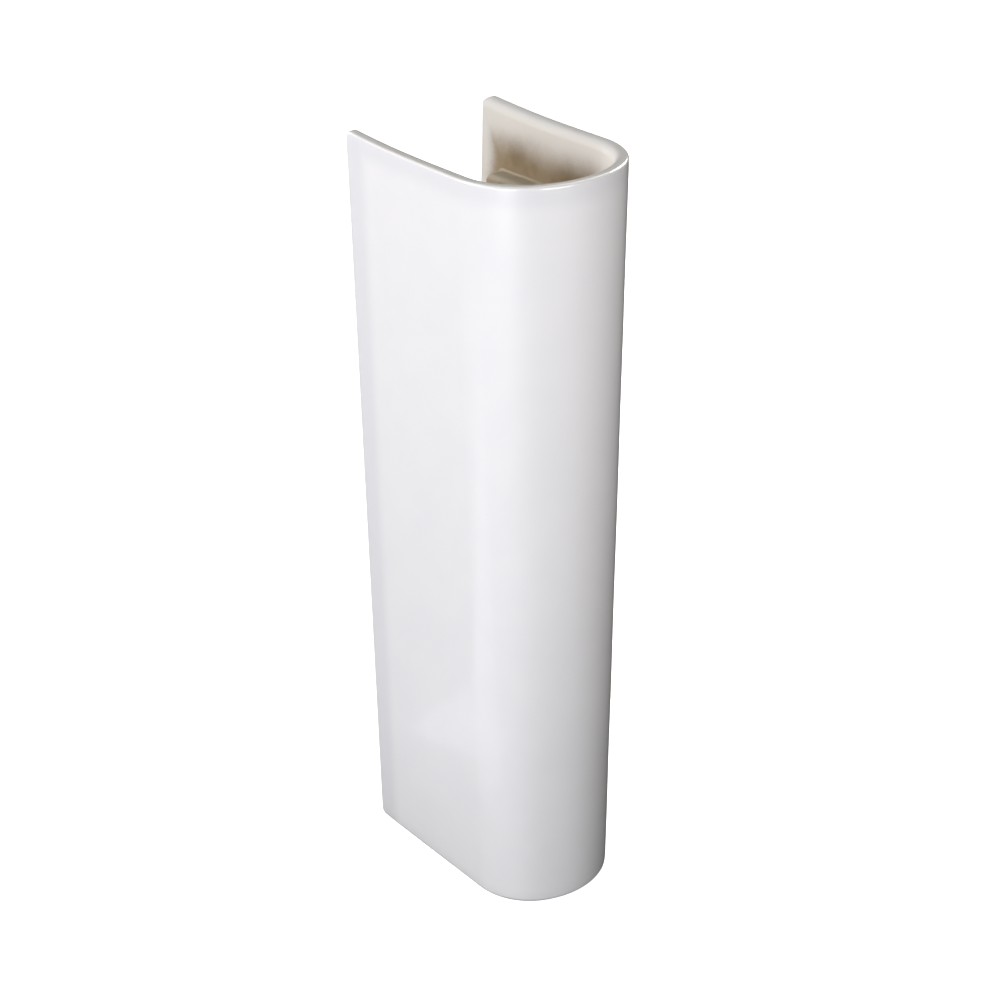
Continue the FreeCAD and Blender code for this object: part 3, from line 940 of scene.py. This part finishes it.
@dataclass
class ScrewLug:
    """A lug in one rear corner of the foot, with an upright hole for the floor screw."""

    column: Column
    side: Side
    long: float = 40.0
    corner: float = 9.0
    top_round: float = 2.5
    hole_radius: float = 5.0
    hole_round: float = 0.8
    screw_inset: float = 14.0
    sunk: float = 1.0

    def build(self) -> bpy.types.Object:
        """Model the lug as rings: up its sides, in over its top and down through its hole.

        Returns:
            The lug, sunk a little into the wall and the tie.
        """
        low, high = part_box("screw_lug_" + self.side.word)
        tall = high.z / MM
        face = min(abs(low.x), abs(high.x)) / MM
        rear = high.y / MM + self.sunk
        front = rear - self.sunk - self.long
        outer = max(abs(low.x), abs(high.x)) / MM + self.sunk
        centre = (face + self.screw_inset, (front + rear - self.sunk) / 2)

        def outline(inset: float) -> list[tuple[float, float]]:
            points = rounded_rectangle((face + inset, front + inset), (outer, rear),
                                       self.corner - inset, 8, 8)
            kept = []
            for across, back in points:
                if across > centre[0]:
                    wall = abs(self.column.at(
                        self.column.half_run - (self.column.rear - back), 2.0,
                        self.column.wall).x) / MM + self.sunk
                    across = min(wall, lerp(centre[0], wall, (across - centre[0])
                                            / (outer - centre[0])))
                kept.append((across, back))
            return kept

        def hole(radius: float) -> list[tuple[float, float]]:
            points = []
            for across, back in outline(0.0):
                angle = math.atan2(back - centre[1], across - centre[0])
                points.append((centre[0] + radius * math.cos(angle),
                               centre[1] + radius * math.sin(angle)))
            return points

        walk = [(outline(0.0), 0.0)]
        for share in (0.3, 0.6, 0.85):
            walk.append((outline(0.0), (tall - self.top_round) * share))
        walk += [(outline(self.top_round * grow), tall - self.top_round * shrink)
                 for grow, shrink in quarter(4)]
        rim = outline(self.top_round)
        ring = hole(self.hole_radius + self.hole_round)
        for share in (0.35, 0.7):
            walk.append(([(lerp(a[0], b[0], share), lerp(a[1], b[1], share))
                          for a, b in zip(rim, ring)], tall))
        walk.append((ring, tall))
        walk += [(hole(self.hole_radius + self.hole_round * shrink), tall - self.hole_round * grow)
                 for grow, shrink in quarter(3)[1:]]
        walk.append((hole(self.hole_radius), tall / 2))
        walk.append((hole(self.hole_radius), 0.0))
        rings = [[Vector((self.side.value * across * MM, back * MM, up * MM))
                  for across, back in points] for points, up in walk]
        return finish_mesh(grow_rings(rings, Ends.JOINED), "luted_screw_lug_" + self.side.word)


@dataclass
class Bush:
    """A nylon bush: a sleeve in the lug's hole under a flange that sits on the lug."""

    side: Side
    bore: float = 3.25
    sleeve: float = 4.75
    flange: float = 8.0
    thick: float = 2.0
    chamfer: float = 0.5
    segments: int = 64

    def build(self) -> bpy.types.Object:
        """Spin the bush's section round its axis.

        Returns:
            The bush, with softened edges and a lead-in at the top of its bore.
        """
        low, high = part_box("bush_" + self.side.word)
        axis = (low + high) / 2
        top = high.z / MM
        seat = top - self.thick
        soft = self.chamfer
        section = [(self.bore, 0.0), (self.sleeve - soft, 0.0), (self.sleeve, soft),
                   (self.sleeve, seat), (self.flange - 0.2, seat), (self.flange, seat + 0.2),
                   (self.flange, top - soft), (self.flange - 0.15 * soft, top - 0.4 * soft),
                   (self.flange - soft, top), (self.bore + 1.4, top),
                   (self.bore + 0.5, top - 0.25), (self.bore, top - 1.0)]
        shape = bmesh.new()
        verts = [shape.verts.new((axis.x + radius * MM, axis.y, up * MM))
                 for radius, up in section]
        edges = [shape.edges.new(pair) for pair in zip(verts, verts[1:] + verts[:1])]
        bmesh.ops.spin(shape, geom=verts + edges, cent=(axis.x, axis.y, 0.0),
                       axis=(0.0, 0.0, 1.0), angle=math.tau, steps=self.segments,
                       use_merge=True, use_duplicate=False)
        bush = finish_mesh(shape, "nylon_bush_" + self.side.word)
        bush.data.set_sharp_from_angle(angle=math.radians(35))
        return bush


# ---------------------------------------------------------------- studio

@dataclass(frozen=True)
class Softbox:
    """One soft studio light, hung round the column. Azimuth 0 is in front of the nose.

    A negative azimuth is on the left. The light faces a spot on the column's axis.
    """

    name: str
    azimuth: float
    elevation: float
    power: float
    colour: str
    distance: float = 2.3
    size: tuple[float, float] = (0.9, 1.0)
    aim_height: float = 0.38

    def lamp(self) -> bpy.types.Object:
        """Make the lamp and link it to the scene."""
        lamp = bpy.data.lights.new(self.name, "AREA")
        lamp.shape = "RECTANGLE"
        lamp.size, lamp.size_y = self.size
        lamp.energy = self.power
        lamp.color = linear(self.colour)[:3]
        holder = bpy.data.objects.new(self.name, lamp)
        bpy.context.scene.collection.objects.link(holder)
        holder.visible_camera = False
        return holder

    def bearing(self) -> Vector:
        """Return the direction from the column to the light."""
        turn = math.radians(self.azimuth)
        rise = math.radians(self.elevation)
        return Vector((math.sin(turn) * math.cos(rise), -math.cos(turn) * math.cos(rise),
                       math.sin(rise)))

    def hang(self) -> None:
        """Add the light to the scene, facing the column."""
        holder = self.lamp()
        holder.location = Vector((0.0, 0.0, self.aim_height)) + self.bearing() * self.distance
        holder.rotation_euler = (-self.bearing()).to_track_quat("-Z", "Y").to_euler()


@dataclass(frozen=True)
class PaperGlow(Softbox):
    """Light thrown up by a strip of the paper floor. The glaze shows it as a soft upright band."""

    def hang(self) -> None:
        """Lay the light just over the floor, facing up, its long side along its bearing."""
        holder = self.lamp()
        holder.location = self.bearing() * self.distance + Vector((0.0, 0.0, 0.01))
        holder.rotation_euler = (math.pi, 0.0, math.radians(self.azimuth))


@dataclass(frozen=True)
class Studio:
    """A plain pale floor, soft lights and the camera."""

    camera_place: tuple[float, float, float] = (-1.1632, -1.3797, 1.2622)
    camera_forward: tuple[float, float, float] = (0.57531, 0.68444, -0.44786)
    lens: float = 82.99
    sensor: float = 36.0
    floor_radius: float = 12.0
    floor_sides: int = 96
    sweep_radius: float = 3.0
    sweep_height: float = 14.0
    # A least-squares fit to reference tones picked these lights from grids of candidates, and
    # gave their strengths and tints. Only the grids, distances and sizes were given.
    softboxes: tuple[Softbox, ...] = (
        Softbox("front_left", -60.0, 2.0, 27.0, "#F8FAFF", size=(0.9, 0.7)),
        Softbox("left_close", -90.0, 8.0, 1.3, "#F8F6FF", 1.1, (0.6, 0.6), 0.62),
        Softbox("high_left", -120.0, 22.0, 23.0, "#FFFCF8"),
        Softbox("higher_left", -120.0, 45.0, 8.0, "#FFFDFA"),
        Softbox("front_fill", 0.0, 8.0, 6.4, "#FFFCFA", 1.1, (0.6, 0.6), 0.62),
        Softbox("rear_left_low", -160.0, 2.0, 6.4, "#DCE6FF", size=(0.9, 0.7)),
        Softbox("rear_left_high", -160.0, 22.0, 11.0, "#FFF9F0"),
        Softbox("rear_right", 100.0, 30.0, 24.0, "#FFFDF8"),
        Softbox("rear_right_high", 120.0, 50.0, 11.0, "#FFFDF8"),
        PaperGlow("paper_left", -105.0, 0.0, 0.45, "#F4F3FF", 0.75, (0.3, 1.1)),
    )
    ambient: float = 0.02
    ambient_low: float = 0.01

    def lay_floor(self) -> None:
        """Lay a pale floor that sweeps up all round and is burnt out to white, as lit paper is."""
        walk = [(self.floor_radius + self.sweep_radius * (1 - shrink), self.sweep_radius * grow)
                for grow, shrink in quarter(8)]
        walk.append((self.floor_radius + self.sweep_radius, self.sweep_height))
        turns = [math.tau * number / self.floor_sides for number in range(self.floor_sides)]
        rings = [[Vector((radius * math.sin(turn), radius * math.cos(turn), up)) for turn in turns]
                 for radius, up in walk]
        shape = grow_rings(rings, Ends.OPEN_LAST)
        floor = finish_mesh(shape, "floor")
        material, tree = new_tree("floor_paper")
        shader = add_node(tree, "BsdfPrincipled", {
            "Base Color": linear("#DADADA"), "Roughness": 0.9,
            "Emission Color": (1.0, 1.0, 1.0, 1.0), "Emission Strength": 0.98})
        floor.data.materials.append(surface(material, shader))
        floor.visible_diffuse = False
        floor.visible_glossy = False
        floor.visible_shadow = False

    def fill_sky(self) -> None:
        """Fill the world with grey light, weaker from below."""
        world = bpy.data.worlds.new("studio")
        bpy.context.scene.world = world
        world.use_nodes = True
        tree = world.node_tree
        tree.nodes.clear()
        place = add_node(tree, "TexCoord").outputs["Generated"]
        up = add_node(tree, "SeparateXYZ", None, {0: place}).outputs["Z"]
        level = add_node(tree, "MapRange", {"From Min": -0.4, "From Max": 0.6,
                                            "To Min": self.ambient_low, "To Max": self.ambient},
                         {"Value": up}).outputs[0]
        sky = add_node(tree, "Background", {"Color": (1.0, 1.0, 1.0, 1.0)}, {"Strength": level})
        add_node(tree, "OutputWorld", None, {"Surface": sky.outputs[0]})

    def place_camera(self) -> None:
        """Set the camera up."""
        camera = bpy.data.cameras.new("camera")
        camera.lens = self.lens
        camera.sensor_width = self.sensor
        holder = bpy.data.objects.new("camera", camera)
        bpy.context.scene.collection.objects.link(holder)
        holder.location = self.camera_place
        forward = Vector(self.camera_forward)
        holder.rotation_euler = forward.to_track_quat("-Z", "Y").to_euler()
        bpy.context.scene.camera = holder

    def build(self) -> None:
        """Set the whole studio up."""
        self.lay_floor()
        self.fill_sky()
        for softbox in self.softboxes:
            softbox.hang()
        self.place_camera()
        bpy.context.scene.view_settings.view_transform = "Standard"


def main() -> None:
    """Build every piece in order, then the studio."""
    logging.basicConfig(level=logging.INFO, format="%(name)s: %(message)s")
    china = VitreousChina().build()
    luted = LutedChina().build()
    nylon = MouldedNylon().build()
    column = Column()
    dress(column.build(), china, ["shell"])
    dress(CrossTie(column).build(), luted, ["cross_tie"])
    for side in Side:
        dress(Ledge(column, side).build(), luted, ["ledge_" + side.word])
        dress(ScrewLug(column, side).build(), luted, ["screw_lug_" + side.word])
        dress(Bush(side).build(), nylon, ["bush_" + side.word])
    Studio().build()


if __name__ == "__main__":
    main()
